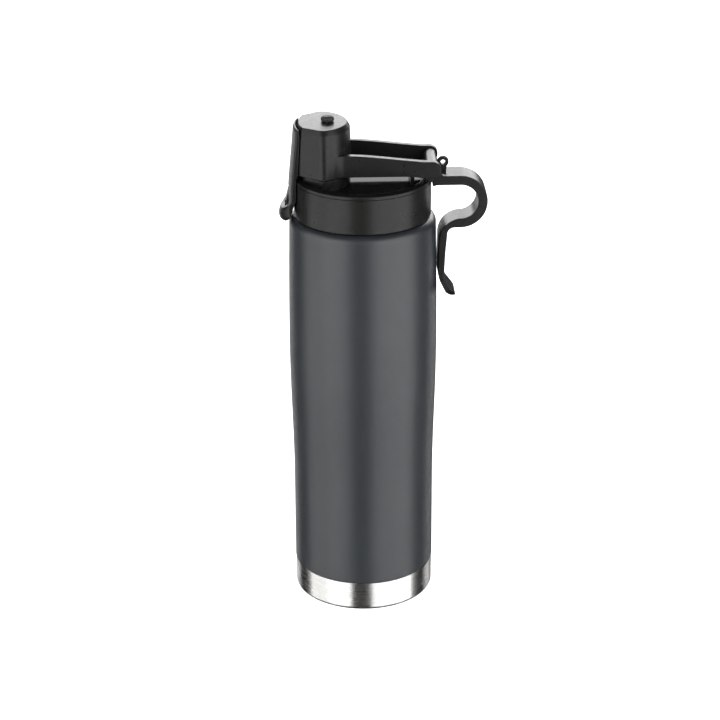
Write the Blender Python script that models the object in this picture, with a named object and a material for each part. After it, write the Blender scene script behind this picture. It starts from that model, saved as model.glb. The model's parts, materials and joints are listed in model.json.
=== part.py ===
"""Insulated water bottle with a flip cap, a latch strap and a carry hook.

Lengths are in millimetres and become metres in add_mesh. The bottle stands on z = 0 about the Z axis.
The carry hook and the cap's hinge are on the +X side, and the latch is on the -X side. The cap's arms
lie along X.
"""

import math

import bmesh
import bpy
from mathutils import Vector

MM = 0.001
GAP = 0.3

# Body
BASE_R = 35.0
BELLY_R = 36.5
BELLY_FROM_Z = 62.0
BELLY_Z = 134.0
SHOULDER_Z = 196.0
SHOULDER_TAPER = 0.7
WALL = 0.8
PAINT = 0.1
BAND_H = 15.2
SEAT_Z = 201.5
SHOULDER_FILLET = 4.0

# Neck and its two-start thread
NECK_R = 28.9
MOUTH_Z = 213.5
THREAD_DEPTH = 0.9
THREAD_LEAD = 12.0
THREAD_STARTS = 2
THREAD_LOW_Z = 203.4
THREAD_HIGH_Z = 212.6
NECK_BORE_R = 26.8

# Lid
LID_R = 33.4
COLLAR_Z = 201.9
PARTING_Z = 219.1
DECK_Z = 218.6
RIM_Z = 221.0
SEAT_TOP_Z = 223.7
SPOUT_X = -16.7
FLANGE_Z = DECK_Z + 1.6

# Flip cap
CAP_LOW_Z = 224.2
CAP_EDGE_Z = 246.2
CAP_TOP_Z = 248.6
CAP_WALL = 1.6
CAP_WIDE_X = -19.2
HINGE_X = 33.2
HINGE_Z = 227.6
ARM_IN_Y = 11.0
ARM_OUT_Y = 14.4
ARM_END_R = 4.1
ARM_LOW_Z = 224.5
KNUCKLE_R = 3.2
PIN_R = 1.5

# Carry hook
HOOK_HALF_W = 7.5
LOOP_X = 47.4
LOOP_Z = 208.9
LOOP_R = 13.2
STRIP_T = 4.6

# Latch
LATCH_X = -31.1
LATCH_Z = 243.5
LATCH_PIN_R = 0.6
STRAP_HALF_W = 10.6
STRAP_LIP_FROM_Z = 214.0
STRAP_LIP_R = 36.3

# Surfaces: colour, roughness, metallic
SLATE_PAINT = ((0.085, 0.09, 0.1), 0.5, 0.0)
BARE_STEEL = ((0.62, 0.62, 0.61), 0.3, 1.0)
DULL_METAL = ((0.3, 0.3, 0.31), 0.5, 1.0)
BLACK_PLASTIC = ((0.035, 0.035, 0.034), 0.35, 0.0)
GREY_LINER = ((0.45, 0.45, 0.44), 0.45, 0.0)
BLACK_SILICONE = ((0.012, 0.012, 0.012), 0.5, 0.0)


def material(name, colour, roughness, metallic):
    """A Principled BSDF with one colour."""
    made = bpy.data.materials.new(name)
    made.use_nodes = True
    shader = made.node_tree.nodes["Principled BSDF"]
    shader.inputs["Base Color"].default_value = (*colour, 1.0)
    shader.inputs["Roughness"].default_value = roughness
    shader.inputs["Metallic"].default_value = metallic
    made.diffuse_color = (*colour, 1.0)
    return made


def joint_empty(name, x, z):
    """An empty on the axis of a joint, in the plane y = 0."""
    empty = bpy.data.objects.new(name, None)
    empty.location = (x * MM, 0.0, z * MM)
    bpy.context.scene.collection.objects.link(empty)
    return empty


def add_mesh(name, points, faces, look=None, parent=None):
    """An object from points in millimetres. Its origin is its parent's, which is on the joint's axis."""
    origin = parent.location if parent else Vector((0.0, 0.0, 0.0))
    mesh = bpy.data.meshes.new(name)
    mesh.from_pydata([Vector(p) * MM - origin for p in points], [], faces)
    shape = bmesh.new()
    shape.from_mesh(mesh)
    bmesh.ops.remove_doubles(shape, verts=shape.verts, dist=1e-7)
    bmesh.ops.recalc_face_normals(shape, faces=shape.faces)
    shape.to_mesh(mesh)
    shape.free()
    made = bpy.data.objects.new(name, mesh)
    bpy.context.scene.collection.objects.link(made)
    if look:
        mesh.materials.append(material(f"{name}_surface", *look))
    if parent:
        made.parent = parent
    return made


def smooth(made, degrees=35.0):
    """Smooth shading with the sharp edges kept."""
    for face in made.data.polygons:
        face.use_smooth = True
    made.data.set_sharp_from_angle(angle=math.radians(degrees))


def combine(target, tool, operation):
    """A Boolean with a hidden tool."""
    tool.hide_render = True
    tool.display_type = "WIRE"
    cut = target.modifiers.new(tool.name, "BOOLEAN")
    cut.operation = operation
    cut.solver = "EXACT"
    cut.object = tool


def ring_faces(count, rows):
    """Faces of a grid of rows that closes on itself both ways."""
    faces = []
    for row in range(rows):
        below = row * count
        above = (row + 1) % rows * count
        for i in range(count):
            j = (i + 1) % count
            faces.append((below + i, below + j, above + j, above + i))
    return faces


def revolved(profile, segments, centre_x=0.0, ridge=None):
    """Points and faces of a closed (radius, z) profile turned about a vertical axis."""
    points = []
    faces = []
    rows = []
    for radius, z in profile:
        if radius == 0.0:
            rows.append([len(points)] * segments)
            points.append((centre_x, 0.0, z))
            continue
        rows.append(list(range(len(points), len(points) + segments)))
        for i in range(segments):
            angle = 2.0 * math.pi * i / segments
            reach = radius + (ridge(angle, radius, z) if ridge else 0.0)
            points.append((centre_x + reach * math.cos(angle), reach * math.sin(angle), z))
    for k, row in enumerate(rows):
        following = rows[(k + 1) % len(rows)]
        if profile[k][0] == 0.0 and profile[(k + 1) % len(rows)][0] == 0.0:
            continue
        for i in range(segments):
            j = (i + 1) % segments
            corners = [row[i], row[j], following[j], following[i]]
            faces.append(tuple(dict.fromkeys(corners)))
    return points, faces


def prism(outline, low_y, high_y):
    """Points and faces of an (x, z) outline drawn out along Y."""
    count = len(outline)
    points = [(x, low_y, z) for x, z in outline] + [(x, high_y, z) for x, z in outline]
    faces = [tuple(range(count)), tuple(range(2 * count - 1, count - 1, -1))]
    for i in range(count):
        j = (i + 1) % count
        faces.append((i, j, count + j, count + i))
    return points, faces


def arc(cx, cz, radius, start_deg, end_deg, steps):
    """Points along an arc, both ends included."""
    out = []
    for i in range(steps + 1):
        angle = math.radians(start_deg + (end_deg - start_deg) * i / steps)
        out.append((cx + radius * math.cos(angle), cz + radius * math.sin(angle)))
    return out


def cross_cylinder(name, x, z, radius, low_y, high_y, steps=20, parent=None, look=None):
    """A cylinder along Y."""
    return add_mesh(name, *prism(arc(x, z, radius, 0, 360, steps)[:-1], low_y, high_y), look, parent)


def box(name, low, high):
    """A block between two corners."""
    outline = [(low[0], low[2]), (high[0], low[2]), (high[0], high[2]), (low[0], high[2])]
    return add_mesh(name, *prism(outline, low[1], high[1]))


def smoothstep(t):
    t = min(max(t, 0.0), 1.0)
    return t * t * (3.0 - 2.0 * t)


def body_radius(z):
    """Outside of the painted wall: straight below, swelling to the belly, then drawn in to the shoulder."""
    swell = (BELLY_R - BASE_R) * smoothstep((z - BELLY_FROM_Z) / (BELLY_Z - BELLY_FROM_Z))
    taper = SHOULDER_TAPER * max(0.0, (z - BELLY_Z) / (SHOULDER_Z - BELLY_Z)) ** 2
    return BASE_R + swell - taper


def thread_ridge(angle, radius, z):
    """Height of the neck's thread over the neck, which fades out at both ends."""
    if abs(radius - NECK_R) > 0.01 or not THREAD_LOW_Z < z < THREAD_HIGH_Z:
        return 0.0
    spacing = THREAD_LEAD / THREAD_STARTS
    along = (z - THREAD_LOW_Z - THREAD_LEAD * angle / (2.0 * math.pi)) % spacing
    off_crest = abs(along - spacing / 2.0)
    fade = smoothstep((z - THREAD_LOW_Z) / 1.5) * smoothstep((THREAD_HIGH_Z - z) / 1.5)
    return THREAD_DEPTH * fade * (1.0 - smoothstep((off_crest - 0.4) / 1.2))


def make_outer_shell():
    """The painted outer wall, its shoulder and the threaded neck."""
    bottom = BAND_H + GAP
    heights = [bottom, 40.0, BELLY_FROM_Z, 76.0, 90.0, 104.0, 118.0, BELLY_Z, 155.0, 178.0]
    outside = [(body_radius(z) + PAINT, z) for z in heights]
    fillet_x = body_radius(SHOULDER_Z) - SHOULDER_FILLET
    shoulder = arc(fillet_x, SEAT_Z - SHOULDER_FILLET, SHOULDER_FILLET, 0, 90, 6)
    thread_rows = 13
    rise = (THREAD_HIGH_Z - THREAD_LOW_Z) / thread_rows
    neck = [(NECK_R, THREAD_LOW_Z + rise * i) for i in range(thread_rows + 1)]
    top = [(NECK_R, MOUTH_Z), (NECK_R - WALL, MOUTH_Z), (NECK_R - WALL, SEAT_Z - WALL)]
    inner_shoulder = arc(fillet_x, SEAT_Z - SHOULDER_FILLET, SHOULDER_FILLET - WALL, 90, 0, 3)
    inside = [(body_radius(z) - WALL, z) for z in (178.0, 155.0, BELLY_Z, 104.0, 76.0, BELLY_FROM_Z, bottom)]
    profile = outside + shoulder + [(NECK_R, SEAT_Z)] + neck + top + inner_shoulder + inside
    made = add_mesh("outer_shell", *revolved(profile, 48, ridge=thread_ridge), SLATE_PAINT)
    smooth(made)


def make_base_cup():
    """The bare steel cup under the painted wall. It stands on the ring round its foot."""
    outer_r = BASE_R - PAINT
    inner_r = outer_r - WALL
    outside = [(0.0, 3.2), (27.2, 3.2), (27.2, 0.6), (27.8, 0.0), (32.9, 0.0), (34.2, 0.6), (outer_r, 2.0)]
    rim = [(outer_r, BAND_H), (inner_r, BAND_H)]
    inside = [(inner_r, 2.4), (32.6, WALL), (28.0, WALL), (28.0, 3.2 + WALL), (0.0, 3.2 + WALL)]
    smooth(add_mesh("base_cup", *revolved(outside + rim + inside, 48), BARE_STEEL))


def make_base_disc():
    """The disc let into the foot, which hides the seal."""
    profile = [(0.0, 0.8), (26.4, 0.8), (26.9, 1.1), (26.9, 1.8), (0.0, 1.8)]
    smooth(add_mesh("base_disc", *revolved(profile, 32), BARE_STEEL))


def make_vacuum_seal():
    """The bead that closes the space between the walls."""
    profile = [(0.0, 2.1), (2.2, 2.1), (3.0, 2.5), (3.0, 2.9), (0.0, 2.9)]
    smooth(add_mesh("vacuum_seal", *revolved(profile, 20), DULL_METAL))


def make_getter():
    """The capsule that keeps the space between the walls empty of gas."""
    profile = [(0.0, 4.3), (4.6, 4.3), (5.0, 4.7), (5.0, 6.2), (4.4, 6.8), (0.0, 6.8)]
    smooth(add_mesh("getter", *revolved(profile, 24), DULL_METAL))


def make_inner_flask():
    """The inner bottle with its neck and the lip at the mouth."""
    outside = [(0.0, 7.4), (26.0, 7.4), (30.4, 9.5), (31.9, 14.0), (31.9, BELLY_FROM_Z), (32.6, 98.0)]
    outside += [(33.3, BELLY_Z), (33.0, 180.0), (31.9, 190.0), (28.6, 197.0), (27.8, SEAT_Z), (27.8, 213.8)]
    lip = [(NECK_R, 213.8), (NECK_R, 214.1), (NECK_R - 0.3, 214.3), (NECK_BORE_R, 214.3)]
    inside = [(NECK_BORE_R, SEAT_Z), (27.7, 196.6), (31.1, 189.6), (32.2, 180.0), (32.5, BELLY_Z)]
    inside += [(31.8, 98.0), (31.1, BELLY_FROM_Z), (31.1, 14.0), (29.8, 10.2), (25.7, 8.2), (0.0, 8.2)]
    smooth(add_mesh("inner_flask", *revolved(outside + lip + inside, 40), BARE_STEEL))


def make_o_ring(parent):
    """The ring in the groove of the plug, which seals against the bore of the neck."""
    section = arc(25.75, 209.5, 0.75, 0, 360, 8)[:-1]
    smooth(add_mesh("plug_o_ring", *revolved(section, 32), BLACK_SILICONE, parent))


def make_mouth_gasket(parent):
    """The flat ring under the flange of the plug, which closes on the lip of the mouth."""
    profile = [(26.1, 214.6), (29.2, 214.6), (29.2, 215.2), (26.1, 215.2)]
    smooth(add_mesh("mouth_gasket", *revolved(profile, 32), BLACK_SILICONE, parent))


def make_lid_plug(parent):
    """The liner under the lid: a flange over the mouth and a skirt that goes down inside the neck."""
    outside = [(0.0, 217.4), (25.6, 217.4), (25.6, 216.2), (29.5, 216.2), (29.5, 215.5), (25.6, 215.5)]
    groove = [(25.6, 210.7), (24.7, 210.6), (24.7, 208.4), (25.6, 208.3)]
    inside = [(25.6, 206.4), (25.2, 206.0), (23.2, 206.0), (23.2, 215.4), (0.0, 215.4)]
    made = add_mesh("lid_plug", *revolved(outside + groove + inside, 36), GREY_LINER, parent)
    hole = add_mesh("plug_spout_hole", *revolved([(0, 210), (6.0, 210), (6.0, 220), (0, 220)], 32, SPOUT_X))
    combine(made, hole, "DIFFERENCE")
    smooth(made)


def make_lid_collar(parent):
    """The skirt that turns on the neck, with the catch that the latch strap goes over."""
    profile = [(30.8, COLLAR_Z), (LID_R - 0.4, COLLAR_Z), (LID_R, COLLAR_Z + 0.4), (LID_R, PARTING_Z - 0.2)]
    profile += [(LID_R - 0.2, PARTING_Z), (30.8, PARTING_Z), (30.8, 217.4), (26.0, 217.4), (26.0, 216.5)]
    profile += [(30.8, 216.5)]
    made = add_mesh("lid_collar", *revolved(profile, 56), BLACK_PLASTIC, parent)
    side = [(-32.4, 207.7), (-37.0, 207.7), (-37.4, 208.2), (-37.4, 209.4), (-36.2, 214.6), (-35.4, 215.6)]
    catch = add_mesh("catch_shape", *prism(side + [(-32.4, 215.6)], -3.5, 3.5))
    combine(made, catch, "UNION")
    smooth(made)


def hook_outline():
    """Side view of the strip that is bent into the carry hook, and of its root on the lid."""
    top_z = LOOP_Z + LOOP_R
    inner_r = LOOP_R - STRIP_T
    out = [(30.0, PARTING_Z + 1.2), (30.0, HINGE_Z - 2.0), (37.4, HINGE_Z - 2.0)]
    out += arc(40.2, top_z + 2.8, 2.8, 180, 270, 4)
    out += arc(LOOP_X, LOOP_Z, LOOP_R, 90, -90, 18)
    out += arc(44.6, LOOP_Z - LOOP_R - 3.5, 3.5, 90, 180, 6)
    out += [(40.7, 187.4), (40.2, 181.0), (39.9, 174.0), (39.9, 168.8), (41.3, 166.6), (43.3, 163.9)]
    out += arc(44.1, 160.6, 1.3, 40, -130, 6)
    out += [(42.4, 159.7), (40.9, 161.5), (39.5, 163.9), (38.4, 166.2), (37.4, 168.6), (36.8, 170.8)]
    out += [(36.7, 176.0), (36.85, 182.0)]
    out += arc(48.4, 189.0, 11.4, 181, 97, 9)
    out += arc(LOOP_X, LOOP_Z, inner_r, -90, 90, 16)
    out += arc(36.2, top_z - STRIP_T - 2.8, 2.8, 90, 150, 4)
    return out + [(LID_R + 0.35, PARTING_Z + 0.4), (LID_R - 0.4, PARTING_Z + 0.7)]


def across_x(outline, low_x, high_x):
    """Points and faces of a (y, z) outline drawn out along X."""
    points, faces = prism(outline, low_x, high_x)
    return [(along, across, z) for across, along, z in points], faces


def hook_trims():
    """Tools that round the corners of the hook's tip."""
    corner_r = 5.0
    low_z = 159.0
    reach = HOOK_HALF_W + 0.1
    for side, name in ((-1, "near"), (1, "far")):
        bend = arc(reach - corner_r, low_z + corner_r, corner_r, -90, 0, 6)
        outside = [(reach + 2.0, low_z + corner_r), (reach + 2.0, low_z - 2.0)]
        outline = bend + outside + [(reach - corner_r, low_z - 2.0)]
        yield add_mesh(f"{name}_tip_trim", *across_x([(side * y, z) for y, z in outline], 37.0, 50.0))


def rounded_corner(before, corner, after, radius, steps):
    """Points of the arc that rounds a corner."""
    corner = Vector(corner)
    first = (Vector(before) - corner).normalized()
    second = (Vector(after) - corner).normalized()
    half = first.angle(second) / 2.0
    reach = radius / math.tan(half)
    centre = corner + (first + second).normalized() * radius / math.sin(half)
    start = corner + first * reach - centre
    end = corner + second * reach - centre
    turn = start.angle_signed(end)
    out = []
    for i in range(steps + 1):
        angle = -turn * i / steps
        x = start.x * math.cos(angle) - start.y * math.sin(angle)
        y = start.x * math.sin(angle) + start.y * math.cos(angle)
        out.append((centre.x + x, centre.y + y))
    return out


def cap_plan(end_x, end_y, side_y, nose_x):
    """Plan of the cap's housing: a broad arc towards the hinge, and a narrow curved end at the latch."""
    nose_r = side_y * 1.09
    nose = arc(nose_x - nose_r, 0.0, nose_r, -56, 56, 12)
    wide = (CAP_WIDE_X, side_y * 1.03)
    half_turn = math.degrees(math.asin(-end_y / end_x))
    end = arc(0.0, 0.0, -end_x, 180.0 - half_turn + 3.0, 180.0 + half_turn - 3.0, 8)
    narrow = (end_x * math.cos(math.radians(half_turn)), end_y)
    upper = rounded_corner(nose[-1], wide, narrow, 5.0, 5) + rounded_corner(wide, narrow, end[0], 0.9, 3)
    lower = [(x, -y) for x, y in reversed(upper)]
    return nose + upper + end + lower


def at_height(outline, z):
    """A plan lifted to a height."""
    return [(x, y, z) for x, y in outline]


def seat_shape():
    """The low wall on the deck, which the housing of the cap comes down on."""
    outer = cap_plan(-30.2, 9.2, 17.9, -5.8)
    inner = cap_plan(-28.7, 8.2, 16.5, -7.1)
    low_z = DECK_Z - 0.4
    loops = [at_height(outer, low_z), at_height(outer, SEAT_TOP_Z)]
    loops += [at_height(inner, SEAT_TOP_Z), at_height(inner, low_z)]
    points = [point for loop in loops for point in loop]
    return add_mesh("seat_shape", points, ring_faces(len(outer), len(loops)))


def make_lid_top(parent):
    """The deck of the lid in one moulding with the hinge's knuckle, the lanyard eye and the carry hook."""
    profile = [(0.0, 217.7), (30.4, 217.7), (30.4, 219.45), (LID_R - 0.2, 219.45), (LID_R, 219.65)]
    profile += [(LID_R, RIM_Z - 0.3), (LID_R - 0.4, RIM_Z), (30.2, 221.7), (29.6, 221.5), (28.6, DECK_Z)]
    profile += [(0.0, DECK_Z)]
    made = add_mesh("lid_top", *revolved(profile, 56), BLACK_PLASTIC, parent)
    combine(made, seat_shape(), "UNION")
    hook = add_mesh("hook_shape", *prism(hook_outline(), -HOOK_HALF_W, HOOK_HALF_W))
    combine(made, hook, "UNION")
    for trim in hook_trims():
        combine(made, trim, "DIFFERENCE")
    knuckle_y = ARM_IN_Y - 0.4
    side = [(29.4, RIM_Z - 0.9), (33.0, RIM_Z - 0.9), (35.0, 223.0)]
    side += arc(HINGE_X, HINGE_Z, KNUCKLE_R, -35, 190, 12)
    knuckle = add_mesh("knuckle_shape", *prism(side, -knuckle_y, knuckle_y))
    combine(made, knuckle, "UNION")
    combine(made, box("stop_wall_shape", (22.8, -9.2, DECK_Z - 0.4), (24.8, 9.2, 227.0)), "UNION")
    bore = cross_cylinder("knuckle_bore", HINGE_X, HINGE_Z, PIN_R + GAP, -12.0, 12.0)
    combine(made, bore, "DIFFERENCE")
    eye_x = 39.0
    eye_z = 227.3
    side = [(37.6, 221.8), (40.6, 221.8)]
    side += arc(eye_x, eye_z, 2.8, -50, 220, 14)
    combine(made, add_mesh("eye_shape", *prism(side, -1.1, 1.1)), "UNION")
    combine(made, cross_cylinder("eye_hole", eye_x, eye_z, 1.2, -3.0, 3.0, 18), "DIFFERENCE")
    hole = add_mesh("deck_spout_hole", *revolved([(0, 210), (6.0, 210), (6.0, 225), (0, 225)], 32, SPOUT_X))
    combine(made, hole, "DIFFERENCE")
    smooth(made)


def make_spout(parent):
    """The drinking spout, with a flange on the deck and a tail through the plug."""
    outside = [(4.2, 213.0), (5.6, 213.0), (5.6, FLANGE_Z), (8.9, FLANGE_Z), (9.2, FLANGE_Z + 0.3)]
    outside += [(9.1, FLANGE_Z + 1.0), (8.6, FLANGE_Z + 1.6)]
    outside += [(8.4, 226.0), (8.1, 238.0), (7.8, 241.6), (7.1, 242.8), (5.9, 242.8)]
    inside = [(5.2, 241.4), (4.7, 238.0), (4.2, 226.0)]
    smooth(add_mesh("spout", *revolved(outside + inside, 32, SPOUT_X), BLACK_PLASTIC, parent))


def make_spout_gasket(parent):
    """The washer between the flange of the spout and the deck."""
    low_z = DECK_Z + GAP
    high_z = FLANGE_Z - GAP
    profile = [(6.3, low_z), (8.6, low_z), (8.6, high_z), (6.3, high_z)]
    smooth(add_mesh("spout_gasket", *revolved(profile, 28, SPOUT_X), BLACK_SILICONE, parent))


def hole_loop(outline, z, radius):
    """A circle about the seal's stem, with a point towards each point of the plan."""
    out = []
    for x, y in outline:
        angle = math.atan2(y, x - SPOUT_X)
        out.append((SPOUT_X + radius * math.cos(angle), radius * math.sin(angle), z))
    return out


def arm_top(x):
    """Height of an arm's upper edge: level at the housing and falling a little to the hinge."""
    return 235.3 - 3.8 * smoothstep((x + 10.0) / 48.0)


def arm_outline():
    """Side view of an arm of the cap, from the housing to the round end on the hinge."""
    stations = 9
    start_x = -11.5
    out = [(start_x, ARM_LOW_Z)]
    for i in range(stations + 1):
        x = start_x + (HINGE_X - 3.0 - start_x) * i / stations
        out.append((x, arm_top(x)))
    out += arc(HINGE_X, HINGE_Z, ARM_END_R, 92, -90, 12)
    return out + [(28.0, ARM_LOW_Z - 0.6), (22.0, ARM_LOW_Z)]


def make_flip_cap(parent):
    """The hollow housing over the spout, with two arms to the hinge and pockets for the latch's pivot."""
    foot = cap_plan(-32.5, 9.6, 18.5, -5.4)
    edge = cap_plan(-31.4, 11.3, 17.8, -5.9)
    roof = cap_plan(-30.7, 10.5, 16.2, -7.4)
    hollow = cap_plan(-28.2, 8.6, 17.8 - CAP_WALL, -5.9 - CAP_WALL)
    roof_z = CAP_TOP_Z - 2.6
    hole_r = 2.3
    loops = [at_height(foot, CAP_LOW_Z), at_height(edge, CAP_EDGE_Z), at_height(roof, CAP_TOP_Z)]
    loops += [hole_loop(roof, CAP_TOP_Z, hole_r), hole_loop(roof, roof_z, hole_r)]
    loops += [at_height(hollow, roof_z), at_height(hollow, CAP_LOW_Z)]
    points = [point for loop in loops for point in loop]
    made = add_mesh("flip_cap", points, ring_faces(len(foot), len(loops)), BLACK_PLASTIC, parent)
    for side, name in ((-1, "near"), (1, "far")):
        low_y, high_y = sorted((side * ARM_IN_Y, side * ARM_OUT_Y))
        combine(made, add_mesh(f"{name}_arm_shape", *prism(arm_outline(), low_y, high_y)), "UNION")
    reach = 1.9
    for low_y, high_y, name in ((-7.8, -4.4, "near"), (-2.2, 2.2, "middle"), (4.4, 7.8, "far")):
        low = (-36.0, low_y, LATCH_Z - reach)
        high = (LATCH_X + reach, high_y, LATCH_Z + reach)
        combine(made, box(f"{name}_pocket", low, high), "DIFFERENCE")
    bore = cross_cylinder("arm_bore", HINGE_X, HINGE_Z, PIN_R + GAP, -ARM_OUT_Y + 1.0, ARM_OUT_Y - 1.0)
    combine(made, bore, "DIFFERENCE")
    pivot_bore = cross_cylinder("pivot_bore", LATCH_X, LATCH_Z, LATCH_PIN_R + GAP, -5.0, 5.0, 12)
    combine(made, pivot_bore, "DIFFERENCE")
    smooth(made)


def make_hinge_pin(parent):
    """The pin through the knuckle and into both arms."""
    reach = ARM_OUT_Y - 1.0 - GAP
    smooth(cross_cylinder("hinge_pin", HINGE_X, HINGE_Z, PIN_R, -reach, reach, 24, parent, BARE_STEEL))


def make_spout_seal(parent):
    """The plug that closes the spout. Its stem goes through the roof of the cap and ends in a knob."""
    plug = [(0.0, 240.6), (3.0, 240.6), (3.8, 241.2), (4.4, 243.1)]
    flange = [(8.0, 243.1), (8.2, 243.4), (8.2, 245.0), (7.9, 245.3)]
    under_knob = CAP_TOP_Z + GAP
    stem = [(2.0, 245.3), (2.0, under_knob)]
    knob = [(3.0, under_knob), (3.2, 249.3), (3.1, 250.1), (2.3, 250.9), (1.5, 251.2), (0.0, 251.3)]
    profile = plug + flange + stem + knob
    smooth(add_mesh("spout_seal", *revolved(profile, 24, SPOUT_X), BLACK_SILICONE, parent))


def strap_point(reach, z, share):
    """A point of the strap. share runs from -1 to 1 across it, and its lip is rounded like a tongue."""
    lip = smoothstep((STRAP_LIP_FROM_Z - z) / 10.0)
    lifted = z + 4.2 * lip * share * share
    drawn_in = min(reach, STRAP_LIP_R) + max(0.0, reach - STRAP_LIP_R) * (1.0 - 0.75 * share * share)
    angle = math.pi + math.asin(STRAP_HALF_W / drawn_in) * share
    return (drawn_in * math.cos(angle), drawn_in * math.sin(angle), lifted)


def make_latch_strap(parent):
    """The strap that swings on the end of the cap and reaches down over the catch to a thumb lip."""
    outer = [(32.7, 247.4), (33.3, 246.6), (33.6, 245.2), (34.1, 238.6), (35.4, 225.0), (36.1, 216.5)]
    lip = [(36.4, 209.6), (37.0, 207.7), (38.4, 206.8), (40.1, 205.6), (40.9, 203.2), (40.4, 200.6)]
    lip += [(38.9, 199.0), (37.5, 198.9)]
    inner = [(36.1, 201.2), (34.9, 205.4), (34.1, 209.0), (33.8, 212.0), (33.8, 222.4), (32.9, 224.6)]
    inner += [(31.85, 244.0), (32.3, 247.2)]
    profile = outer + lip + inner
    steps = 12
    points = [strap_point(r, z, 2.0 * i / steps - 1.0) for i in range(steps + 1) for r, z in profile]
    count = len(profile)
    faces = [tuple(range(count)), tuple(range(steps * count, (steps + 1) * count))]
    for i in range(steps):
        for j in range(count):
            k = (j + 1) % count
            faces.append((i * count + j, i * count + k, (i + 1) * count + k, (i + 1) * count + j))
    made = add_mesh("latch_strap", points, faces, BLACK_PLASTIC, parent)
    for side, name in ((-1, "near"), (1, "far")):
        low_y, high_y = sorted((side * 4.7, side * 7.4))
        barrel = cross_cylinder(f"{name}_barrel_shape", LATCH_X, LATCH_Z, 1.5, low_y, high_y, 16)
        combine(made, barrel, "UNION")
    combine(made, box("strap_window", (-37.8, -4.2, 190.0), (-30.0, 4.2, 217.2)), "DIFFERENCE")
    low = (LATCH_X - 1.75, -2.2, LATCH_Z - 1.8)
    combine(made, box("coil_pocket", low, (LATCH_X + 1.8, 2.2, LATCH_Z + 1.8)), "DIFFERENCE")
    bore = cross_cylinder("strap_bore", LATCH_X, LATCH_Z, LATCH_PIN_R + GAP, -8.0, 8.0, 12)
    combine(made, bore, "DIFFERENCE")
    smooth(made)


def make_latch_pin(parent):
    """The pin that the latch strap swings on."""
    smooth(cross_cylinder("latch_pin", LATCH_X, LATCH_Z, LATCH_PIN_R, -7.0, 7.0, 16, parent, BARE_STEEL))


def make_latch_spring(parent):
    """The coil round the latch pin that pulls the strap in."""
    coil_r = 1.15
    wire_r = 0.22
    turns = 3
    per_turn = 10
    sides = 5
    width = 3.2
    points = []
    for i in range(turns * per_turn + 1):
        angle = 2.0 * math.pi * i / per_turn
        y = width * (i / (turns * per_turn) - 0.5)
        for k in range(sides):
            around = 2.0 * math.pi * k / sides
            reach = coil_r + wire_r * math.cos(around)
            across = wire_r * math.sin(around)
            points.append((LATCH_X + reach * math.cos(angle), y + across, LATCH_Z + reach * math.sin(angle)))
    faces = [tuple(range(sides)), tuple(range(turns * per_turn * sides, (turns * per_turn + 1) * sides))]
    for i in range(turns * per_turn):
        for k in range(sides):
            m = (k + 1) % sides
            faces.append((i * sides + k, i * sides + m, (i + 1) * sides + m, (i + 1) * sides + k))
    smooth(add_mesh("latch_spring", points, faces, BARE_STEEL, parent))


def main():
    for old in list(bpy.data.objects):
        bpy.data.objects.remove(old, do_unlink=True)
    turn = joint_empty("lid_turn", 0.0, 0.0)
    cap_hinge = joint_empty("cap_hinge", HINGE_X, HINGE_Z)
    latch_hinge = joint_empty("latch_hinge", LATCH_X, LATCH_Z)
    make_outer_shell()
    make_base_cup()
    make_base_disc()
    make_vacuum_seal()
    make_getter()
    make_inner_flask()
    make_o_ring(turn)
    make_mouth_gasket(turn)
    make_lid_plug(turn)
    make_lid_collar(turn)
    make_lid_top(turn)
    make_spout(turn)
    make_spout_gasket(turn)
    make_flip_cap(cap_hinge)
    make_hinge_pin(cap_hinge)
    make_spout_seal(cap_hinge)
    make_latch_pin(cap_hinge)
    make_latch_spring(cap_hinge)
    make_latch_strap(latch_hinge)


main()
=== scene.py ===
"""Looks of the insulated water bottle: smooth meshes, procedural materials, soft studio light and the camera.

Lengths are in millimetres until they reach Blender. Z is up along the bottle's axis, the carry hook is on the
+X side and the latch on the -X side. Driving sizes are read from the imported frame.
"""

import json
import math

import bmesh
import bpy
from mathutils import Matrix, Vector


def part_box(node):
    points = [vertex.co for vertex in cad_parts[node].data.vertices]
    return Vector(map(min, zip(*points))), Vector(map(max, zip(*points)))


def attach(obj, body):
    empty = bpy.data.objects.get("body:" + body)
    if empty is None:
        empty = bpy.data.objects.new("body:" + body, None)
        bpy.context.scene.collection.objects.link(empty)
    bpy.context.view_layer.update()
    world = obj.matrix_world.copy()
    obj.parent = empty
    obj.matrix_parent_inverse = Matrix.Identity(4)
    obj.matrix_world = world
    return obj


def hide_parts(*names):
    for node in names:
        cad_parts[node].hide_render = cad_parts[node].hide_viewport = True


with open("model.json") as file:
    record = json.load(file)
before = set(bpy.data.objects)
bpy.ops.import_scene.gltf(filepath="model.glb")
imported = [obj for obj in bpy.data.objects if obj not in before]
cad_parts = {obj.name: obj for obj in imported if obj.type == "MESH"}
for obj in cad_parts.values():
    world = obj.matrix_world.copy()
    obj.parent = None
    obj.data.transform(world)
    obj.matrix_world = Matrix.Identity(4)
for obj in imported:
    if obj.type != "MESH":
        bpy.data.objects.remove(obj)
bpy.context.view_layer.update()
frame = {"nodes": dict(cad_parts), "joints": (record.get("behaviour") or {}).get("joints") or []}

MM = 0.001
CRISP_DEG = 32.0


def span(node):
    """Lowest and highest corner of a CAD node in millimetres."""
    low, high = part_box(node)
    return low / MM, high / MM


def pivot(joint_name):
    """Where a joint's axis crosses the plane y = 0, as (x, z) in millimetres."""
    joint = next(j for j in frame["joints"] if j["name"] == joint_name)
    return joint["pos_m"][0] / MM, joint["pos_m"][2] / MM


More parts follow.
